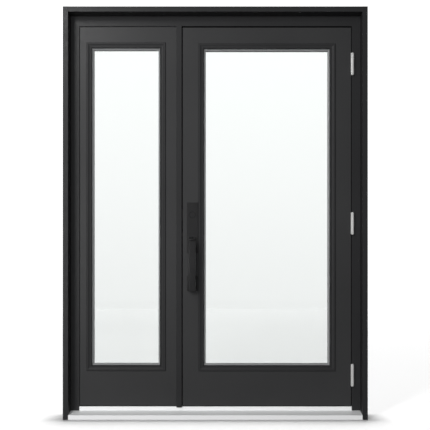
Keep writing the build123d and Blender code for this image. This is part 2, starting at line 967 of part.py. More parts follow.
with BuildPart() as deadbolt:
    block(
        (slab_left, slab_left + deadbolt_length),
        (slab_mid - deadbolt_width / 2, slab_mid + deadbolt_width / 2),
        (cylinder_height - deadbolt_height / 2, cylinder_height + deadbolt_height / 2),
    )
    fillet(deadbolt.edges().filter_by(Axis.X), deadbolt_width / 8)
save(deadbolt.part, "deadbolt")

# Outside trim: plate, cylinder, thumb piece and grip
plate_z = (plate_bottom, plate_bottom + plate_height)
plate_x = (lock_x - plate_width / 2, lock_x + plate_width / 2)
case_front = slab_mid - case_thickness / 2
case_back = slab_mid + case_thickness / 2

with BuildPart() as handle_plate:
    block(plate_x, (plate_front, face_y), plate_z)
    fillet(handle_plate.faces().sort_by(Axis.Y)[0].edges(), plate_round)
    with Locations(Plane(origin=(lock_x, face_y, cylinder_height), z_dir=(0, 1, 0))):
        Cylinder(cylinder_shank_radius + turn_clearance, 2 * plate_thickness + overrun, mode=Mode.SUBTRACT)
    block(
        (lock_x - thumb_width / 2 - turn_clearance, lock_x + thumb_width / 2 + turn_clearance),
        (plate_front - overrun, face_y + overrun),
        (
            thumb_height - thumb_thickness / 2 - thumb_slot_play,
            thumb_height + thumb_thickness / 2 + thumb_slot_play / 2,
        ),
        Mode.SUBTRACT,
    )
    with Locations(Plane(origin=(lock_x, thumb_pivot_y, thumb_height), z_dir=(1, 0, 0))):
        Cylinder(
            thumb_pivot_radius + pin_clearance,
            thumb_width + 2 * (thumb_pivot_reach + turn_clearance),
            mode=Mode.SUBTRACT,
        )
save(handle_plate.part, "handle_plate")

with BuildPart() as lock_cylinder:
    with BuildSketch(Plane((lock_x, plate_front, cylinder_height), z_dir=(0, -1, 0))):
        Circle(cylinder_radius)
    extrude(amount=cylinder_projection)
    chamfer(lock_cylinder.faces().sort_by(Axis.Y)[0].edges(), cylinder_chamfer)
    with BuildSketch(Plane((lock_x, plate_front, cylinder_height), z_dir=(0, 1, 0))):
        Circle(cylinder_shank_radius)
    extrude(amount=case_front - plate_front)
    with BuildSketch(Plane((lock_x, plate_front - cylinder_projection, cylinder_height), z_dir=(0, 1, 0))):
        Circle(plug_radius + plug_clearance)
    extrude(amount=plug_length + bolt_clearance, mode=Mode.SUBTRACT)
save(lock_cylinder.part, "lock_cylinder")

with BuildPart() as key_plug:
    plug_front = plate_front - cylinder_projection - plug_projection
    with BuildSketch(Plane((lock_x, plug_front, cylinder_height), z_dir=(0, 1, 0))):
        Circle(plug_radius)
    extrude(amount=plug_length + plug_projection)
    block(
        (lock_x - keyway_width / 2, lock_x + keyway_width / 2),
        (plug_front - overrun, plug_front + keyway_depth),
        (cylinder_height - keyway_height / 2, cylinder_height + keyway_height / 2),
        Mode.SUBTRACT,
    )
save(key_plug.part, "key_plug")

with BuildPart() as thumb_piece:
    tail_y = plate_front + thumb_tail
    neck_y = plate_front - thumb_reach / 2
    tip_y = plate_front - thumb_reach
    half_thick = thumb_thickness / 2
    with BuildSketch(Plane.YZ.offset(lock_x - thumb_width / 2)):
        with BuildLine():
            Polyline(
                (neck_y, thumb_height + half_thick),
                (tail_y, thumb_height + half_thick),
                (tail_y, thumb_height - half_thick),
                (neck_y, thumb_height - half_thick),
            )
            Bezier(
                (neck_y, thumb_height - half_thick),
                ((neck_y + tip_y) / 2, thumb_height - half_thick),
                (tip_y, thumb_height - half_thick - thumb_tip_drop),
            )
            Line(
                (tip_y, thumb_height - half_thick - thumb_tip_drop),
                (tip_y, thumb_height + half_thick - thumb_tip_drop),
            )
            Bezier(
                (tip_y, thumb_height + half_thick - thumb_tip_drop),
                ((neck_y + tip_y) / 2, thumb_height + half_thick),
                (neck_y, thumb_height + half_thick),
            )
        make_face()
    extrude(amount=thumb_width)
    fillet(thumb_piece.faces().sort_by(Axis.Y)[0].edges().filter_by(Axis.Z), thumb_thickness)
    with Locations(Plane(origin=(lock_x, thumb_pivot_y, thumb_height), z_dir=(1, 0, 0))):
        Cylinder(thumb_pivot_radius, thumb_width + 2 * thumb_pivot_reach)
save(thumb_piece.part, "thumb_piece")

with BuildPart() as grip_rose:
    rose_x = (lock_x - rose_width / 2, lock_x + rose_width / 2)
    block(rose_x, (face_y - rose_thickness, face_y), (grip_bottom, grip_bottom + rose_height))
    fillet(grip_rose.faces().sort_by(Axis.Y)[0].edges(), plate_round)
save(grip_rose.part, "grip_rose")

with BuildPart() as grip:
    bar_y = face_y - grip_standoff
    back_y = bar_y + grip_thickness
    rose_front = face_y - rose_thickness
    middle_z = (grip_top + grip_bottom) / 2
    upper_foot = grip_top - grip_foot
    lower_foot = grip_bottom + grip_foot
    with BuildSketch(Plane.YZ.offset(lock_x - grip_width / 2)):
        with BuildLine():
            Polyline(
                (bar_y, grip_bottom),
                (rose_front, grip_bottom + grip_corner / 2),
                (rose_front, lower_foot + grip_corner / 2),
                (back_y, lower_foot + grip_corner),
            )
            ThreePointArc(
                (back_y, lower_foot + grip_corner),
                (back_y - grip_bow, middle_z),
                (back_y, upper_foot - grip_corner),
            )
            Polyline(
                (back_y, upper_foot - grip_corner),
                (plate_front, upper_foot - grip_corner / 2),
                (plate_front, grip_top - grip_corner / 2),
                (bar_y, grip_top),
            )
            ThreePointArc(
                (bar_y, grip_top),
                (bar_y - grip_bow, middle_z),
                (bar_y, grip_bottom),
            )
        make_face()
    extrude(amount=grip_width)
    side_faces = grip.faces().filter_by(Plane.YZ)
    front_edges = side_faces.edges().filter_by(GeomType.CIRCLE)
    fillet(front_edges, grip_round)
save(grip.part, "grip")

# Inside trim: plate, knob and thumbturn
inner_plate_x = (lock_x - inner_plate_width / 2, lock_x + inner_plate_width / 2)
inner_plate_bottom = (knob_height + cylinder_height - inner_plate_height) / 2
plate_back = slab_back + plate_thickness

with BuildPart() as inner_plate:
    block(
        inner_plate_x,
        (slab_back, plate_back),
        (inner_plate_bottom, inner_plate_bottom + inner_plate_height),
    )
    fillet(inner_plate.faces().sort_by(Axis.Y)[-1].edges(), plate_round)
    for height in (knob_height, cylinder_height):
        with Locations(Plane(origin=(lock_x, slab_back, height), z_dir=(0, 1, 0))):
            Cylinder(spindle_radius + turn_clearance, 2 * plate_thickness + overrun, mode=Mode.SUBTRACT)
save(inner_plate.part, "inner_plate")


def turned(height, profile):
    """Solid of revolution about the lock's axis: points are (radius, depth)."""
    with BuildPart() as piece:
        plane = Plane((lock_x, 0, height), x_dir=(1, 0, 0), z_dir=(0, 0, 1))
        with BuildSketch(plane):
            with BuildLine():
                Polyline(*profile, close=True)
            make_face()
        revolve(axis=Axis((lock_x, 0, height), (0, 1, 0)))
    return piece.part


knob_seat = plate_back + turn_clearance
knob_end = plate_back + knob_projection
knob_rise = knob_end - knob_seat
with BuildPart() as knob:
    knob_neck_share = 0.45
    knob_belly_share = 0.66
    knob_front_share = 0.86
    knob_rim_share = 0.7
    neck = (knob_neck_radius, knob_seat + knob_neck_share * knob_rise)
    belly = (knob_radius, knob_seat + knob_belly_share * knob_rise)
    rim = (knob_rim_share * knob_radius, knob_seat + knob_front_share * knob_rise)
    with BuildSketch(Plane((lock_x, 0, knob_height), x_dir=(1, 0, 0), z_dir=(0, 0, 1))):
        with BuildLine():
            Polyline(
                (0, knob_end),
                (0, slab_mid),
                (spindle_radius, slab_mid),
                (spindle_radius, knob_seat),
                (knob_rose_radius, knob_seat),
                (knob_rose_radius, knob_seat + knob_rose_thickness),
                (knob_neck_radius, knob_seat + knob_rose_thickness),
                neck,
            )
            TangentArc(belly, neck, tangent=(0, -1))
            TangentArc(belly, rim, tangent=(0, 1))
            TangentArc((0, knob_end), rim, tangent=(1, 0))
        make_face()
    revolve(axis=Axis((lock_x, 0, knob_height), (0, 1, 0)))
save(knob.part, "knob")

turn_end = plate_back + turn_clearance + thumbturn_base
with BuildPart() as thumbturn:
    add(
        turned(
            cylinder_height,
            [
                (0, case_back - case_thickness / 2),
                (spindle_radius, case_back - case_thickness / 2),
                (spindle_radius, knob_seat),
                (thumbturn_radius, knob_seat),
                (thumbturn_radius, turn_end),
                (0, turn_end),
            ],
        )
    )
    block(
        (lock_x - thumbturn_width / 2, lock_x + thumbturn_width / 2),
        (turn_end, plate_back + thumbturn_projection),
        (cylinder_height - thumbturn_length / 2, cylinder_height + thumbturn_length / 2),
    )
    fillet(thumbturn.faces().sort_by(Axis.Y)[-1].edges(), thumbturn_width / 4)
save(thumbturn.part, "thumbturn")
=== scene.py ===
"""Looks for a glazed steel entry door with a fixed sidelite: finishes, fasteners, studio and camera.

Metres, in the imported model's own frame: +Z up, +X to the hinge side seen from outside, +Y indoors.
"""

import json
import logging
from dataclasses import dataclass, field
from enum import Enum
from math import radians

import bmesh
import bpy
from mathutils import Matrix, Vector


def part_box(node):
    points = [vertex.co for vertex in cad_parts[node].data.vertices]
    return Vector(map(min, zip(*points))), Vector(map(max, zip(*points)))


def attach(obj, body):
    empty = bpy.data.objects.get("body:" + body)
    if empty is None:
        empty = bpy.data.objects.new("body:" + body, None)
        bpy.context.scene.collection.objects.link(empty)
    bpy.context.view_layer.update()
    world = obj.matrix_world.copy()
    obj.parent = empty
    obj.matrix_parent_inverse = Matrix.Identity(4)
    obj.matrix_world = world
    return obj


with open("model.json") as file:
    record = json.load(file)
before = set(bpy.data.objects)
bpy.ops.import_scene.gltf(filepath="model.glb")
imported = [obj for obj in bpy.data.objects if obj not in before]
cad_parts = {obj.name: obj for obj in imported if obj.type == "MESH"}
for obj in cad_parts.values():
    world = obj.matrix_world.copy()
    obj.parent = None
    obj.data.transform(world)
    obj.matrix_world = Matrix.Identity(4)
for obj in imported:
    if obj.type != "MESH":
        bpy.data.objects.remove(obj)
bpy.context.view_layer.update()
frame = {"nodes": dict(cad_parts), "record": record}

log = logging.getLogger("entry_door")
MM = 0.001
Colour = tuple[float, float, float, float]
Place = tuple[float, float, float]

# A noise texture keeps mostly between these two values.
NOISE_LOW = 0.3
NOISE_HIGH = 0.7

# Painted skin: scales of its two broad patterns, and how far its gloss strays.
CLOUD_SCALE = 2.3
GLOSS_SCALE = 41.0
GLOSS_LOW = 0.88
GLOSS_HIGH = 1.12

# Grain: scale of its broad bands against its lines, and the share of each.
BAND_SCALE = 0.13
LINE_SHARE = 0.6
BAND_SHARE = 0.4


class Axis(Enum):
    """Direction that a metal's brush lines or a wood's grain run along."""

    X = "x"
    Y = "y"
    Z = "z"


class Facing(Enum):
    """Side that a fastener's head looks to."""

    LEFT = (-1.0, 0.0, 0.0)
    RIGHT = (1.0, 0.0, 0.0)
    OUTSIDE = (0.0, -1.0, 0.0)
    INSIDE = (0.0, 1.0, 0.0)


# Node wiring


@dataclass
class Wiring:
    """A node tree with short calls for adding and joining nodes."""

    tree: bpy.types.NodeTree

    def add(self, kind: str, **settings: object) -> bpy.types.Node:
        """Add one node.

        Args:
            kind: Blender's node type name.
            settings: Properties of the node, or values of its inputs by name.

        Returns:
            The new node.
        """
        node = self.tree.nodes.new(kind)
        for name, value in settings.items():
            if hasattr(node, name):
                setattr(node, name, value)
            else:
                node.inputs[name.replace("_", " ").title()].default_value = value
        return node

    def join(self, source: bpy.types.NodeSocket, target: bpy.types.NodeSocket) -> None:
        """Link an output to an input.

        Args:
            source: Output that gives the value.
            target: Input that takes it.
        """
        self.tree.links.new(source, target)

    def ramp(self, value: bpy.types.NodeSocket, low: float, high: float) -> bpy.types.NodeSocket:
        """Spread a noise value over a new range.

        Args:
            value: Output of a noise texture.
            low: Result at the low end.
            high: Result at the high end.

        Returns:
            The output with the new range.
        """
        node = self.tree.nodes.new("ShaderNodeMapRange")
        node.inputs["From Min"].default_value = NOISE_LOW
        node.inputs["From Max"].default_value = NOISE_HIGH
        node.inputs["To Min"].default_value = low
        node.inputs["To Max"].default_value = high
        self.join(value, node.inputs["Value"])
        return node.outputs["Result"]

    def combine(
        self, operation: str, first: bpy.types.NodeSocket, second: bpy.types.NodeSocket
    ) -> bpy.types.NodeSocket:
        """Combine two values in a Math node.

        Args:
            operation: Blender's name of the operation.
            first: First value.
            second: Second value.

        Returns:
            The result.
        """
        node = self.add("ShaderNodeMath", operation=operation)
        self.join(first, node.inputs[0])
        self.join(second, node.inputs[1])
        return node.outputs[0]

    def times(self, first: bpy.types.NodeSocket, second: bpy.types.NodeSocket) -> bpy.types.NodeSocket:
        """Multiply two values and return the product."""
        return self.combine("MULTIPLY", first, second)

    def plus(self, first: bpy.types.NodeSocket, second: bpy.types.NodeSocket) -> bpy.types.NodeSocket:
        """Add two values and return the sum."""
        return self.combine("ADD", first, second)

    def around_one(self, swing: bpy.types.NodeSocket) -> bpy.types.NodeSocket:
        """Turn a swing about nought into a factor about one.

        Args:
            swing: Value that swings about nought.

        Returns:
            The factor.
        """
        node = self.add("ShaderNodeMath", operation="ADD")
        node.inputs[1].default_value = 1.0
        self.join(swing, node.inputs[0])
        return node.outputs[0]

    def tinted(self, colour: bpy.types.NodeSocket, factor: bpy.types.NodeSocket) -> bpy.types.NodeSocket:
        """Scale a colour by a value and return the result."""
        node = self.add("ShaderNodeVectorMath", operation="SCALE")
        self.join(colour, node.inputs[0])
        self.join(factor, node.inputs["Scale"])
        return node.outputs[0]


def new_group(name: str, inputs: dict[str, str]) -> tuple[Wiring, bpy.types.Node, bpy.types.Node]:
    """Start a shader node group that gives a colour, a roughness and a height.

    Args:
        name: Name of the group.
        inputs: Socket types by input name.

    Returns:
        The group's wiring, its input node and its output node.
    """
    tree = bpy.data.node_groups.new(name, "ShaderNodeTree")
    for label, kind in inputs.items():
        tree.interface.new_socket(label, in_out="INPUT", socket_type=kind)
    for label, kind in (
        ("Colour", "NodeSocketColor"),
        ("Roughness", "NodeSocketFloat"),
        ("Height", "NodeSocketFloat"),
    ):
        tree.interface.new_socket(label, in_out="OUTPUT", socket_type=kind)
    wiring = Wiring(tree)
    return wiring, tree.nodes.new("NodeGroupInput"), tree.nodes.new("NodeGroupOutput")


def coat_group() -> bpy.types.NodeTree:
    """Sprayed or moulded surface: faint clouds of colour, uneven gloss and a fine skin.

    Returns:
        The finished node group.
    """
    wiring, given, result = new_group(
        "coat_skin",
        {
            "Colour": "NodeSocketColor",
            "Roughness": "NodeSocketFloat",
            "Cloud": "NodeSocketFloat",
            "Skin Scale": "NodeSocketFloat",
        },
    )
    place = wiring.add("ShaderNodeTexCoord").outputs["Object"]
    cloud = wiring.add("ShaderNodeTexNoise", scale=CLOUD_SCALE, detail=3.0)
    gloss = wiring.add("ShaderNodeTexNoise", scale=GLOSS_SCALE, detail=4.0)
    skin = wiring.add("ShaderNodeTexNoise", detail=2.0)
    for noise in (cloud, gloss, skin):
        wiring.join(place, noise.inputs["Vector"])
    wiring.join(given.outputs["Skin Scale"], skin.inputs["Scale"])
    swing = wiring.times(wiring.ramp(cloud.outputs["Fac"], -1.0, 1.0), given.outputs["Cloud"])
    factor = wiring.around_one(swing)
    wiring.join(wiring.tinted(given.outputs["Colour"], factor), result.inputs["Colour"])
    uneven = wiring.ramp(gloss.outputs["Fac"], GLOSS_LOW, GLOSS_HIGH)
    wiring.join(wiring.times(given.outputs["Roughness"], uneven), result.inputs["Roughness"])
    wiring.join(skin.outputs["Fac"], result.inputs["Height"])
    return wiring.tree


def grain_group() -> bpy.types.NodeTree:
    """Long fine lines, for brushed metal and sawn wood.

    Returns:
        The finished node group.
    """
    wiring, given, result = new_group(
        "long_grain",
        {
            "Colour": "NodeSocketColor",
            "Roughness": "NodeSocketFloat",
            "Stretch": "NodeSocketVector",
            "Depth": "NodeSocketFloat",
        },
    )
    place = wiring.add("ShaderNodeTexCoord").outputs["Object"]
    drawn = wiring.add("ShaderNodeVectorMath", operation="MULTIPLY")
    wiring.join(place, drawn.inputs[0])
    wiring.join(given.outputs["Stretch"], drawn.inputs[1])
    lines = wiring.add("ShaderNodeTexNoise", scale=1.0, detail=6.0)
    bands = wiring.add("ShaderNodeTexNoise", scale=BAND_SCALE, detail=2.0)
    wiring.join(drawn.outputs[0], lines.inputs["Vector"])
    wiring.join(drawn.outputs[0], bands.inputs["Vector"])
    both = wiring.plus(
        wiring.ramp(lines.outputs["Fac"], -LINE_SHARE, LINE_SHARE),
        wiring.ramp(bands.outputs["Fac"], -BAND_SHARE, BAND_SHARE),
    )
    swing = wiring.times(both, given.outputs["Depth"])
    factor = wiring.around_one(swing)
    wiring.join(wiring.tinted(given.outputs["Colour"], factor), result.inputs["Colour"])
    wiring.join(wiring.times(given.outputs["Roughness"], factor), result.inputs["Roughness"])
    wiring.join(lines.outputs["Fac"], result.inputs["Height"])
    return wiring.tree


# Finishes


@dataclass(frozen=True)
class Finish:
    """One surface finish, and the material slot that it belongs to."""

    slot: str
    colour: Colour
    roughness: float

    def surface(self, metallic: float) -> tuple[bpy.types.Material, Wiring, bpy.types.Node]:
        """Start the material with its shader.

        Args:
            metallic: Metallic value of the whole surface.

        Returns:
            The material, its wiring and its Principled BSDF.
        """
        material = bpy.data.materials.new(f"{self.slot}_finish")
        material.use_nodes = True
        material.diffuse_color = self.colour
        wiring = Wiring(material.node_tree)
        shader = material.node_tree.nodes["Principled BSDF"]
        shader.inputs["Metallic"].default_value = metallic
        return material, wiring, shader

    def wire_group(
        self,
        wiring: Wiring,
        shader: bpy.types.Node,
        group: bpy.types.NodeTree,
        bump_depth: float,
    ) -> bpy.types.Node:
        """Place a shared group in the material and join it to the shader.

        Args:
            wiring: The material's wiring.
            shader: The material's Principled BSDF.
            group: The shared node group.
            bump_depth: Depth of the relief in metres.

        Returns:
            The group's node, for its own values.
        """
        node = wiring.add("ShaderNodeGroup", node_tree=group)
        node.inputs["Colour"].default_value = self.colour
        node.inputs["Roughness"].default_value = self.roughness
        bump = wiring.add("ShaderNodeBump")
        bump.inputs["Strength"].default_value = 1.0
        bump.inputs["Distance"].default_value = bump_depth
        wiring.join(node.outputs["Colour"], shader.inputs["Base Color"])
        wiring.join(node.outputs["Roughness"], shader.inputs["Roughness"])
        wiring.join(node.outputs["Height"], bump.inputs["Height"])
        wiring.join(bump.outputs["Normal"], shader.inputs["Normal"])
        return node


@dataclass(frozen=True)
class CoatFinish(Finish):
    """Paint, powder coat, rubber or foam, with a fine skin."""

    cloud: float = 0.06
    skin_scale: float = 900.0
    skin_depth: float = 0.00002
    specular: float = 0.5

    def make(self, groups: "SharedGroups") -> bpy.types.Material:
        """Build the material from the shared coat group.

        Args:
            groups: The shared node groups.

        Returns:
            The material.
        """
        material, wiring, shader = self.surface(0.0)
        shader.inputs["Specular IOR Level"].default_value = self.specular
        node = self.wire_group(wiring, shader, groups.coat, self.skin_depth)
        node.inputs["Cloud"].default_value = self.cloud
        node.inputs["Skin Scale"].default_value = self.skin_scale
        return material


@dataclass(frozen=True)
class GrainFinish(Finish):
    """Brushed metal or wood, with lines along one axis."""

    along: Axis = Axis.X
    metallic: float = 1.0
    depth: float = 0.12
    fineness: float = 1500.0
    line_stretch: float = 60.0
    relief: float = 0.00001

    def make(self, groups: "SharedGroups") -> bpy.types.Material:
        """Build the material from the shared grain group.

        Args:
            groups: The shared node groups.

        Returns:
            The material.
        """
        material, wiring, shader = self.surface(self.metallic)
        node = self.wire_group(wiring, shader, groups.grain, self.relief)
        along = self.fineness / self.line_stretch
        node.inputs["Stretch"].default_value = [
            along if axis is self.along else self.fineness for axis in Axis
        ]
        node.inputs["Depth"].default_value = self.depth
        return material


@dataclass(frozen=True)
class GlassFinish(Finish):
    """Clear float glass."""

    bending: float = 1.5
    sheen: float = 0.5
    polish_scale: float = 6.0

    def make(self, groups: "SharedGroups") -> bpy.types.Material:
        """Build the glass, with faint uneven polish.

        Args:
            groups: The shared node groups, which glass has no use for.

        Returns:
            The material.
        """
        material, wiring, shader = self.surface(0.0)
        shader.inputs["Base Color"].default_value = self.colour
        shader.inputs["IOR"].default_value = self.bending
        shader.inputs["Specular Tint"].default_value = (self.sheen, self.sheen, self.sheen, 1.0)
        shader.inputs["Transmission Weight"].default_value = 1.0
        place = wiring.add("ShaderNodeTexCoord").outputs["Object"]
        polish = wiring.add("ShaderNodeTexNoise", scale=self.polish_scale, detail=3.0)
        wiring.join(place, polish.inputs["Vector"])
        uneven = wiring.ramp(polish.outputs["Fac"], 0.0, self.roughness)
        wiring.join(uneven, shader.inputs["Roughness"])
        return material


@dataclass
class SharedGroups:
    """Node groups that several finishes place in their materials."""

    coat: bpy.types.NodeTree = field(default_factory=coat_group)
    grain: bpy.types.NodeTree = field(default_factory=grain_group)


FINISHES: tuple[Finish, ...] = (
    CoatFinish("black_frame", (0.02, 0.0202, 0.021, 1.0), 0.45, specular=0.35),
    CoatFinish("black_steel", (0.031, 0.0312, 0.032, 1.0), 0.42, specular=0.35),
    CoatFinish("black_lite_frame", (0.024, 0.0242, 0.025, 1.0), 0.5, specular=0.3),
    CoatFinish("black_hardware", (0.017, 0.017, 0.0175, 1.0), 0.24, cloud=0.05, skin_scale=2200.0),
    CoatFinish("seal_rubber", (0.012, 0.012, 0.012, 1.0), 0.7, cloud=0.1, skin_scale=1500.0),
    CoatFinish(
        "core_foam", (0.72, 0.66, 0.45, 1.0), 0.95, cloud=0.12, skin_scale=600.0, skin_depth=0.0004
    ),
    GrainFinish("sill_aluminium", (0.8, 0.805, 0.81, 1.0), 0.42, along=Axis.X, metallic=0.08, depth=0.04),
    GrainFinish("spacer_metal", (0.34, 0.345, 0.35, 1.0), 0.4, along=Axis.Z, metallic=0.3, depth=0.06),
    GrainFinish("hinge_steel", (0.68, 0.68, 0.67, 1.0), 0.42, along=Axis.Z, metallic=0.4, depth=0.06),
    GrainFinish("lock_steel", (0.62, 0.62, 0.62, 1.0), 0.32, along=Axis.Z),
    GrainFinish(
        "stile_wood", (0.42, 0.27, 0.14, 1.0), 0.6, along=Axis.Z, metallic=0.0, depth=0.35,
        fineness=500.0, line_stretch=30.0, relief=0.0001,
    ),
    GlassFinish("clear_glass", (0.889, 0.902, 0.897, 1.0), 0.01),
)


@dataclass
class Palette:
    """Every finish as a finished material, by slot."""

    groups: SharedGroups = field(default_factory=SharedGroups)
    materials: dict[str, bpy.types.Material] = field(default_factory=dict)

    def mix(self) -> None:
        """Make each material once."""
        for finish in FINISHES:
            self.materials[finish.slot] = finish.make(self.groups)

    def dress(self, thing: bpy.types.Object, slot: str) -> None:
        """Give an object one finish.

        Args:
            thing: The object.
            slot: Material slot of the finish.
        """
        if not thing.material_slots:
            thing.data.materials.append(None)
        for place in thing.material_slots:
            place.link = "OBJECT"
            place.material = self.materials[slot]


# Pieces


def make_piece(
    name: str, mesh: bmesh.types.BMesh, body: str, slot: str, palette: Palette
) -> bpy.types.Object:
    """Turn a bmesh into a finished piece that rides on a body.

    Args:
        name: Name of the piece.
        mesh: Its geometry, in place; it is freed here.
        body: CAD body that carries it.
        slot: Material slot of its finish.
        palette: The finished materials.

    Returns:
        The new object.
    """
    data = bpy.data.meshes.new(name)
    mesh.to_mesh(data)
    mesh.free()
    piece = bpy.data.objects.new(name, data)
    bpy.context.scene.collection.objects.link(piece)
    palette.dress(piece, slot)
    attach(piece, body)
    log.info("piece %s on %s", name, body)
    return piece


@dataclass
class ScrewSet:
    """Countersunk cross-head screws that hold one plate."""

    name: str
    body: str
    slot: str
    facing: Facing
    places: list[Vector]
    head_radius: float = 4.0 * MM
    proud: float = -0.15 * MM
    rim: float = 0.25 * MM
    recess_half_share: float = 0.55
    recess_depth: float = 1.2 * MM
    taper_share: float = 0.6
    cells: int = 3
    sides: int = 24

    def add_head(self, mesh: bmesh.types.BMesh, place: Vector) -> None:
        """Model one head with its cross recess.

        Args:
            mesh: Mesh that takes the head.
            place: Middle of the head, on the plate's face.
        """
        outward = Vector(self.facing.value)
        turn = outward.to_track_quat("Z", "Y").to_matrix().to_4x4()
        seat = Matrix.Translation(place + outward * self.proud) @ turn
        recess_half = self.recess_half_share * self.head_radius
        grid = bmesh.ops.create_grid(
            mesh, x_segments=self.cells, y_segments=self.cells, size=recess_half
        )
        cells = list({face for vert in grid["verts"] for face in vert.link_faces})
        cell_half = recess_half / self.cells
        centres = [(face, face.calc_center_median()) for face in cells]
        cross = [face for face, centre in centres if min(abs(centre.x), abs(centre.y)) < cell_half]
        rim = [edge for edge in {edge for face in cells for edge in face.edges} if edge.is_boundary]
        circle = bmesh.ops.create_circle(mesh, segments=self.sides, radius=self.head_radius - self.rim)
        ring = list({edge for vert in circle["verts"] for edge in vert.link_edges})
        bmesh.ops.bridge_loops(mesh, edges=rim + ring)
        sunk = bmesh.ops.extrude_face_region(mesh, geom=cross)
        floor = [item for item in sunk["geom"] if isinstance(item, bmesh.types.BMVert)]
        bmesh.ops.delete(mesh, geom=cross, context="FACES")
        bmesh.ops.translate(mesh, verts=floor, vec=(0.0, 0.0, -self.recess_depth))
        skirt = bmesh.ops.extrude_edge_only(mesh, edges=ring)
        low = [item for item in skirt["geom"] if isinstance(item, bmesh.types.BMVert)]
        spread = self.head_radius / (self.head_radius - self.rim)
        bmesh.ops.scale(mesh, verts=low, vec=(spread, spread, 1.0))
        bmesh.ops.translate(mesh, verts=low, vec=(0.0, 0.0, -self.rim))
        lower = {edge for vert in low for edge in vert.link_edges if edge.is_boundary}
        shank = bmesh.ops.extrude_edge_only(mesh, edges=list(lower))
        tip = [item for item in shank["geom"] if isinstance(item, bmesh.types.BMVert)]
        bmesh.ops.scale(mesh, verts=tip, vec=(self.taper_share, self.taper_share, 1.0))
        bmesh.ops.translate(mesh, verts=tip, vec=(0.0, 0.0, -self.recess_depth))
        closing = {edge for vert in tip for edge in vert.link_edges if edge.is_boundary}
        bmesh.ops.holes_fill(mesh, edges=list(closing), sides=0)
        bmesh.ops.transform(mesh, matrix=seat, verts=mesh.verts)

    def build(self, palette: Palette) -> bpy.types.Object:
        """Model every head and join them in one piece.

        Args:
            palette: The finished materials.

        Returns:
            The piece.
        """
        whole = bmesh.new()
        for place in self.places:
            one = bmesh.new()
            self.add_head(one, place)
            bmesh.ops.recalc_face_normals(one, faces=one.faces)
            scratch = bpy.data.meshes.new("scratch")
            one.to_mesh(scratch)
            one.free()
            whole.from_mesh(scratch)
            bpy.data.meshes.remove(scratch)
        return make_piece(self.name, whole, self.body, self.slot, palette)


@dataclass
class GlazingStrip:
    """Grey strip on the slope between a lite frame's bead and its glass."""

    name: str
    body: str
    pane: str
    lite: str
    facing: Facing
    start: float = 32.0 * MM
    end: float = 39.6 * MM
    rise: float = 11.8 * MM
    thickness: float = 0.6 * MM
    slot: str = "spacer_metal"

    def build(self, palette: Palette) -> bpy.types.Object:
        """Model the strip as one sloping ring that ends on the glass.

        Args:
            palette: The finished materials.

        Returns:
            The piece.
        """
        low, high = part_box(self.lite)
        pane_low, pane_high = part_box(self.pane)
        outward = self.facing.value[1]
        glass_y = pane_low.y if outward < 0 else pane_high.y
        wide = high.x - low.x - 2 * self.start
        tall = high.z - low.z - 2 * self.start
        middle = Vector(((low.x + high.x) / 2, glass_y + outward * self.rise, (low.z + high.z) / 2))
        turn = Vector(self.facing.value).to_track_quat("Z", "Y").to_matrix().to_4x4()
        mesh = bmesh.new()
        bmesh.ops.create_grid(mesh, x_segments=1, y_segments=1, size=0.5)
        bmesh.ops.scale(mesh, verts=mesh.verts, vec=(wide, tall, 1.0))
        opening = list(mesh.faces)
        bmesh.ops.inset_region(
            mesh,
            faces=opening,
            thickness=self.end - self.start,
            depth=-self.rise,
            use_boundary=True,
            use_even_offset=True,
        )
        bmesh.ops.delete(mesh, geom=opening, context="FACES_ONLY")
        bmesh.ops.recalc_face_normals(mesh, faces=mesh.faces)
        bmesh.ops.solidify(mesh, geom=list(mesh.faces), thickness=self.thickness)
        bmesh.ops.recalc_face_normals(mesh, faces=mesh.faces)
        bmesh.ops.transform(mesh, matrix=Matrix.Translation(middle) @ turn, verts=mesh.verts)
        return make_piece(self.name, mesh, self.body, self.slot, palette)


# Sub-assemblies


@dataclass
class Dressing:
    """CAD nodes that keep their shape and get a finish."""

    palette: Palette

    def dress(self) -> None:
        """Give each node the finish of its slot in the record."""
        for row in frame["record"]["subparts"]:
            self.palette.dress(frame["nodes"][row["node"]], row["material_slot"])
            log.info("node %s in %s", row["node"], row["material_slot"])


@dataclass
class HingeScrews:
    """Screws in both leaves of each butt hinge."""

    palette: Palette
    names: tuple[str, ...] = ("bottom", "middle", "top")
    levels: tuple[float, ...] = (-41.04 * MM, -15.96 * MM, 15.96 * MM, 41.04 * MM)
    from_edge: tuple[float, ...] = (12.54 * MM, 27.44 * MM, 27.44 * MM, 12.54 * MM)
    leaf_offset: float = 0.4 * MM
    pin_offset: float = 4.0 * MM

    def build(self) -> None:
        """Model the screws of every leaf."""
        for name in self.names:
            for leaf, body, facing in (
                ("frame_leaf", "frame", Facing.LEFT),
                ("door_leaf", "door", Facing.RIGHT),
            ):
                low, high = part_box(f"{name}_hinge_{leaf}")
                gap_x = (low.x + high.x) / 2 - self.pin_offset
                face_x = gap_x - facing.value[0] * self.leaf_offset
                middle = (low.z + high.z) / 2
                places = [
                    Vector((face_x, high.y - depth, middle + level))
                    for level, depth in zip(self.levels, self.from_edge)
                ]
                screws = ScrewSet(f"{name}_hinge_{leaf}_screws", body, "hinge_steel", facing, places)
                screws.build(self.palette)


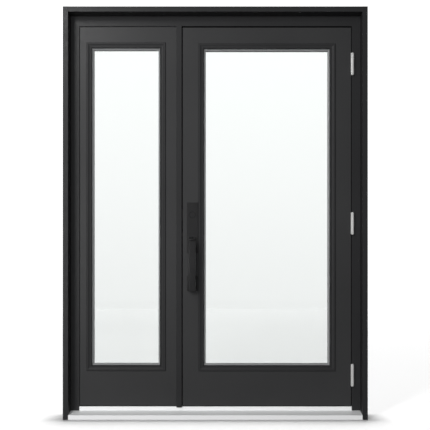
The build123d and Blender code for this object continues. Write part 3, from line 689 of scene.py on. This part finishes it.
@dataclass
class LockScrews:
    """Screws in the faceplate, the strikes and the inside plate."""

    palette: Palette
    strike_margin: float = 9.0 * MM
    faceplate_margin: float = 15.0 * MM
    plate_margin: float = 14.0 * MM
    small_head: float = 3.2 * MM
    plate_proud: float = 0.5 * MM

    def end_places(self, node: str, face: float, margin: float, across: int) -> list[Vector]:
        """Places near both ends of a plate.

        Args:
            node: CAD node of the plate.
            face: Coordinate of its visible face.
            margin: Distance from each end.
            across: Axis that the face looks along, 0 for X and 1 for Y.

        Returns:
            The two places, the lower first.
        """
        low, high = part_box(node)
        middle = (low + high) / 2
        places = []
        for height in (low.z + margin, high.z - margin):
            place = Vector((middle.x, middle.y, height))
            place[across] = face
            places.append(place)
        return places

    def build(self) -> None:
        """Model the screws of each plate."""
        case_low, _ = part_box("lock_case")
        places = self.end_places("lock_case", case_low.x, self.faceplate_margin, 0)
        ScrewSet(
            "faceplate_screws", "door", "lock_steel", Facing.LEFT, places, head_radius=self.small_head
        ).build(self.palette)
        for strike in ("latch_strike", "deadbolt_strike"):
            _, strike_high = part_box(strike)
            places = self.end_places(strike, strike_high.x, self.strike_margin, 0)
            ScrewSet(
                f"{strike}_screws", "frame", "lock_steel", Facing.RIGHT, places, head_radius=self.small_head
            ).build(self.palette)
        _, plate_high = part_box("inner_plate")
        places = self.end_places("inner_plate", plate_high.y, self.plate_margin, 1)
        ScrewSet(
            "inner_plate_screws", "door", "black_hardware", Facing.INSIDE, places, proud=self.plate_proud
        ).build(self.palette)


@dataclass
class Glazing:
    """Glazing strips round the four panes."""

    palette: Palette
    panels: tuple[tuple[str, str], ...] = (("door", "door"), ("sidelite", "frame"))

    def build(self) -> None:
        """Model the strip of each pane."""
        for panel, body in self.panels:
            for side, facing in (("outer", Facing.OUTSIDE), ("inner", Facing.INSIDE)):
                GlazingStrip(
                    f"{panel}_{side}_glazing_strip",
                    body,
                    f"{panel}_{side}_pane",
                    f"{panel}_{side}_lite_frame",
                    facing,
                ).build(self.palette)


# Studio


FLOOR = ("floor",)
BACKDROP = ("backdrop",)
SWEEP = FLOOR + BACKDROP


@dataclass
class Softbox:
    """One area light that looks at a point.

    A light with names in lit reaches those sheets alone. One with names in unlit reaches all but those. A
    light that isn't mirrored doesn't show in glossy surfaces or through glass.
    """

    name: str
    place: Place
    aim: Place
    width: float
    height: float
    power: float
    mirrored: bool = True
    lit: tuple[str, ...] = ()
    unlit: tuple[str, ...] = ()

    def build(self, sheets: dict[str, bpy.types.Object]) -> None:
        """Hang the light.

        Args:
            sheets: Floor and backdrop by name.
        """
        lamp = bpy.data.lights.new(self.name, "AREA")
        lamp.shape = "RECTANGLE"
        lamp.size = self.width
        lamp.size_y = self.height
        lamp.energy = self.power
        light = bpy.data.objects.new(self.name, lamp)
        light.location = self.place
        look = Vector(self.aim) - Vector(self.place)
        light.rotation_euler = look.to_track_quat("-Z", "Y").to_euler()
        light.visible_glossy = self.mirrored
        light.visible_transmission = self.mirrored
        bpy.context.scene.collection.objects.link(light)
        linked = bpy.data.collections.new(f"{self.name}_linked")
        names = self.lit + self.unlit
        for name in names:
            linked.objects.link(sheets[name])
        for entry, name in zip(linked.collection_objects, names):
            entry.light_linking.link_state = "INCLUDE" if name in self.lit else "EXCLUDE"
        light.light_linking.receiver_collection = linked


@dataclass
class Studio:
    """Pale sweep, soft light and the camera."""

    picture: float = 430.0
    sensor: float = 36.0
    lens: float = 70.2
    eye: Place = (0.05, -4.56, 0.85)
    axis_right: float = 9.67
    axis_below: float = 45.4
    sky: float = 0.057
    sweep_half: float = 14.0
    sweep_front: float = -14.0
    sweep_back: float = 12.5
    sweep_round: float = 2.5
    sweep_height: float = 9.0
    surround: float = 13.0
    bend_steps: int = 16
    wall_steps: int = 64
    paper_shade: float = 0.9
    cloth_shade: float = 0.05
    matt: float = 0.8
    shine: float = 0.1
    # Painted glow of the backdrop: emission strength at its foot and at its top, the height it rises over,
    # and the bend of the rise.
    glow_low: float = 1.055
    glow_high: float = 1.27
    glow_rise: float = 4.9
    glow_power: float = 0.65
    lights: tuple[Softbox, ...] = (
        Softbox("key", (-1.9, -5.0, 2.6), (-0.2, 0.0, 1.2), 0.6, 0.6, 112.0, False, unlit=BACKDROP),
        Softbox("corner_glow", (-1.5, -2.2, 2.9), (-0.8, 0.0, 1.7), 0.6, 0.6, 20.0, unlit=SWEEP),
        Softbox("side_fill", (-2.4, -4.4, 1.0), (-0.2, 0.0, 0.8), 1.0, 1.4, 36.0, unlit=SWEEP),
        Softbox("front_fill", (-0.3, -5.6, 1.6), (0.0, 0.0, 1.0), 2.0, 2.5, 172.0, False, unlit=SWEEP),
        Softbox("back_fill", (1.4, 5.2, 3.0), (0.0, 0.0, 1.1), 2.0, 2.0, 260.0, False, unlit=SWEEP),
        Softbox("near_top", (0.0, 0.6, 40.0), (0.0, 0.61, 0.0), 2.8, 1.14, 8800.0, False, lit=FLOOR),
        Softbox("far_top", (0.0, 2.25, 40.0), (0.0, 2.26, 0.0), 2.8, 2.2, 5400.0, False, lit=FLOOR),
    )

    def dull(self, name: str, shade: float) -> tuple[bpy.types.Material, bpy.types.Node]:
        """Start a dull grey material.

        Args:
            name: Name of the material.
            shade: Its grey.

        Returns:
            The material and its Principled BSDF.
        """
        material = bpy.data.materials.new(name)
        material.use_nodes = True
        shader = material.node_tree.nodes["Principled BSDF"]
        shader.inputs["Base Color"].default_value = (shade, shade, shade, 1.0)
        shader.inputs["Roughness"].default_value = self.matt
        shader.inputs["Specular IOR Level"].default_value = self.shine
        return material, shader

    def painted_glow(self) -> bpy.types.Material:
        """White backdrop that glows by its own emission with no lamp behind it: a painted glow that grows a
        little brighter towards its top.

        Returns:
            The material.
        """
        material, shader = self.dull("backdrop_white", self.cloth_shade)
        wiring = Wiring(material.node_tree)
        # Painted glow: the sheet emits light itself, brighter with height, in place of a lamp behind it.
        shader.inputs["Emission Color"].default_value = (1.0, 1.0, 1.0, 1.0)
        place = wiring.add("ShaderNodeTexCoord").outputs["Object"]
        parts = wiring.add("ShaderNodeSeparateXYZ")
        wiring.join(place, parts.inputs["Vector"])
        height = wiring.add("ShaderNodeMapRange")
        height.inputs["From Max"].default_value = self.glow_rise
        wiring.join(parts.outputs["Z"], height.inputs["Value"])
        curve = wiring.add("ShaderNodeMath", operation="POWER")
        curve.inputs[1].default_value = self.glow_power
        wiring.join(height.outputs["Result"], curve.inputs[0])
        glow = wiring.add("ShaderNodeMapRange")
        glow.inputs["To Min"].default_value = self.glow_low
        glow.inputs["To Max"].default_value = self.glow_high
        wiring.join(curve.outputs[0], glow.inputs["Value"])
        wiring.join(glow.outputs["Result"], shader.inputs["Emission Strength"])
        return material

    def sheet(self, name: str, mesh: bmesh.types.BMesh, paper: bpy.types.Material) -> bpy.types.Object:
        """Draw a side line out into a wide sheet of the stage.

        Args:
            name: Name of the sheet.
            mesh: The sheet's side line at its left end; it is freed here.
            paper: Material of the sheet.

        Returns:
            The sheet.
        """
        wide = bmesh.ops.extrude_edge_only(mesh, edges=list(mesh.edges))
        moved = [item for item in wide["geom"] if isinstance(item, bmesh.types.BMVert)]
        bmesh.ops.translate(mesh, verts=moved, vec=(2 * self.sweep_half, 0.0, 0.0))
        return self.place(name, mesh, paper)

    def place(self, name: str, mesh: bmesh.types.BMesh, paper: bpy.types.Material) -> bpy.types.Object:
        """Stand one smooth sheet on the stage.

        Args:
            name: Name of the sheet.
            mesh: Shape of the sheet; it is freed here.
            paper: Material of the sheet.

        Returns:
            The sheet.
        """
        bmesh.ops.recalc_face_normals(mesh, faces=mesh.faces)
        data = bpy.data.meshes.new(name)
        mesh.to_mesh(data)
        mesh.free()
        for face in data.polygons:
            face.use_smooth = True
        data.materials.append(paper)
        sheet = bpy.data.objects.new(name, data)
        bpy.context.scene.collection.objects.link(sheet)
        return sheet

    def build_sweep(self) -> dict[str, bpy.types.Object]:
        """Lay the floor under the door, and the backdrop and the wall round it.

        Returns:
            The floor and the backdrop by name.
        """
        line = bmesh.new()
        floor_end = self.sweep_back - self.sweep_round
        depths = (self.sweep_front, floor_end)
        line.edges.new([line.verts.new((-self.sweep_half, depth, 0.0)) for depth in depths])
        paper, _ = self.dull("floor_white", self.paper_shade)
        floor = self.sheet("floor", line, paper)
        floor.visible_diffuse = False
        floor.visible_glossy = False
        line = bmesh.new()
        foot = line.verts.new((-self.sweep_half, floor_end, 0.0))
        bend = bmesh.ops.spin(
            line,
            geom=[foot],
            cent=(-self.sweep_half, floor_end, self.sweep_round),
            axis=(1.0, 0.0, 0.0),
            angle=radians(90.0),
            steps=self.bend_steps,
        )
        last = [item for item in bend["geom_last"] if isinstance(item, bmesh.types.BMVert)]
        rise = bmesh.ops.extrude_vert_indiv(line, verts=last)
        bmesh.ops.translate(line, verts=rise["verts"], vec=(0.0, 0.0, self.sweep_height))
        cloth = self.painted_glow()
        backdrop = self.sheet("backdrop", line, cloth)
        self.build_surround(cloth)
        return {"floor": floor, "backdrop": backdrop}

    def build_surround(self, cloth: bpy.types.Material) -> None:
        """Close the room with a round wall that carries the backdrop's painted glow; it shows behind the
        door but sheds no light on it.

        Args:
            cloth: Material of the wall.
        """
        line = bmesh.new()
        foot = line.verts.new((self.surround, 0.0, -MM))
        line.edges.new([foot, line.verts.new((self.surround, 0.0, self.sweep_height))])
        bmesh.ops.spin(
            line,
            geom=list(line.verts) + list(line.edges),
            axis=(0.0, 0.0, 1.0),
            angle=radians(360.0),
            steps=self.wall_steps,
            use_merge=True,
        )
        wall = self.place("surround", line, cloth)
        wall.visible_diffuse = False
        wall.visible_glossy = False

    def build_sky(self) -> None:
        """Fill the room with even pale light."""
        world = bpy.data.worlds.new("room")
        world.use_nodes = True
        glow = world.node_tree.nodes["Background"]
        glow.inputs["Color"].default_value = (1.0, 1.0, 1.0, 1.0)
        glow.inputs["Strength"].default_value = self.sky
        bpy.context.scene.world = world

    def build_camera(self) -> None:
        """Set up the camera at the photograph's angle, with upright lines kept parallel."""
        data = bpy.data.cameras.new("camera")
        data.sensor_width = self.sensor
        data.lens = self.lens
        data.shift_x = -self.axis_right / self.picture
        data.shift_y = self.axis_below / self.picture
        camera = bpy.data.objects.new("camera", data)
        camera.location = self.eye
        camera.rotation_euler = Vector((0.0, 1.0, 0.0)).to_track_quat("-Z", "Y").to_euler()
        bpy.context.scene.collection.objects.link(camera)
        bpy.context.scene.camera = camera

    def build(self) -> None:
        """Set up the whole studio."""
        sheets = self.build_sweep()
        self.build_sky()
        for light in self.lights:
            light.build(sheets)
        self.build_camera()
        bpy.context.scene.view_settings.view_transform = "Standard"


def main() -> None:
    """Build the looks in order."""
    logging.basicConfig(level=logging.INFO, format="%(name)s: %(message)s")
    palette = Palette()
    palette.mix()
    Dressing(palette).dress()
    HingeScrews(palette).build()
    LockScrews(palette).build()
    Glazing(palette).build()
    Studio().build()


if __name__ == "__main__":
    main()
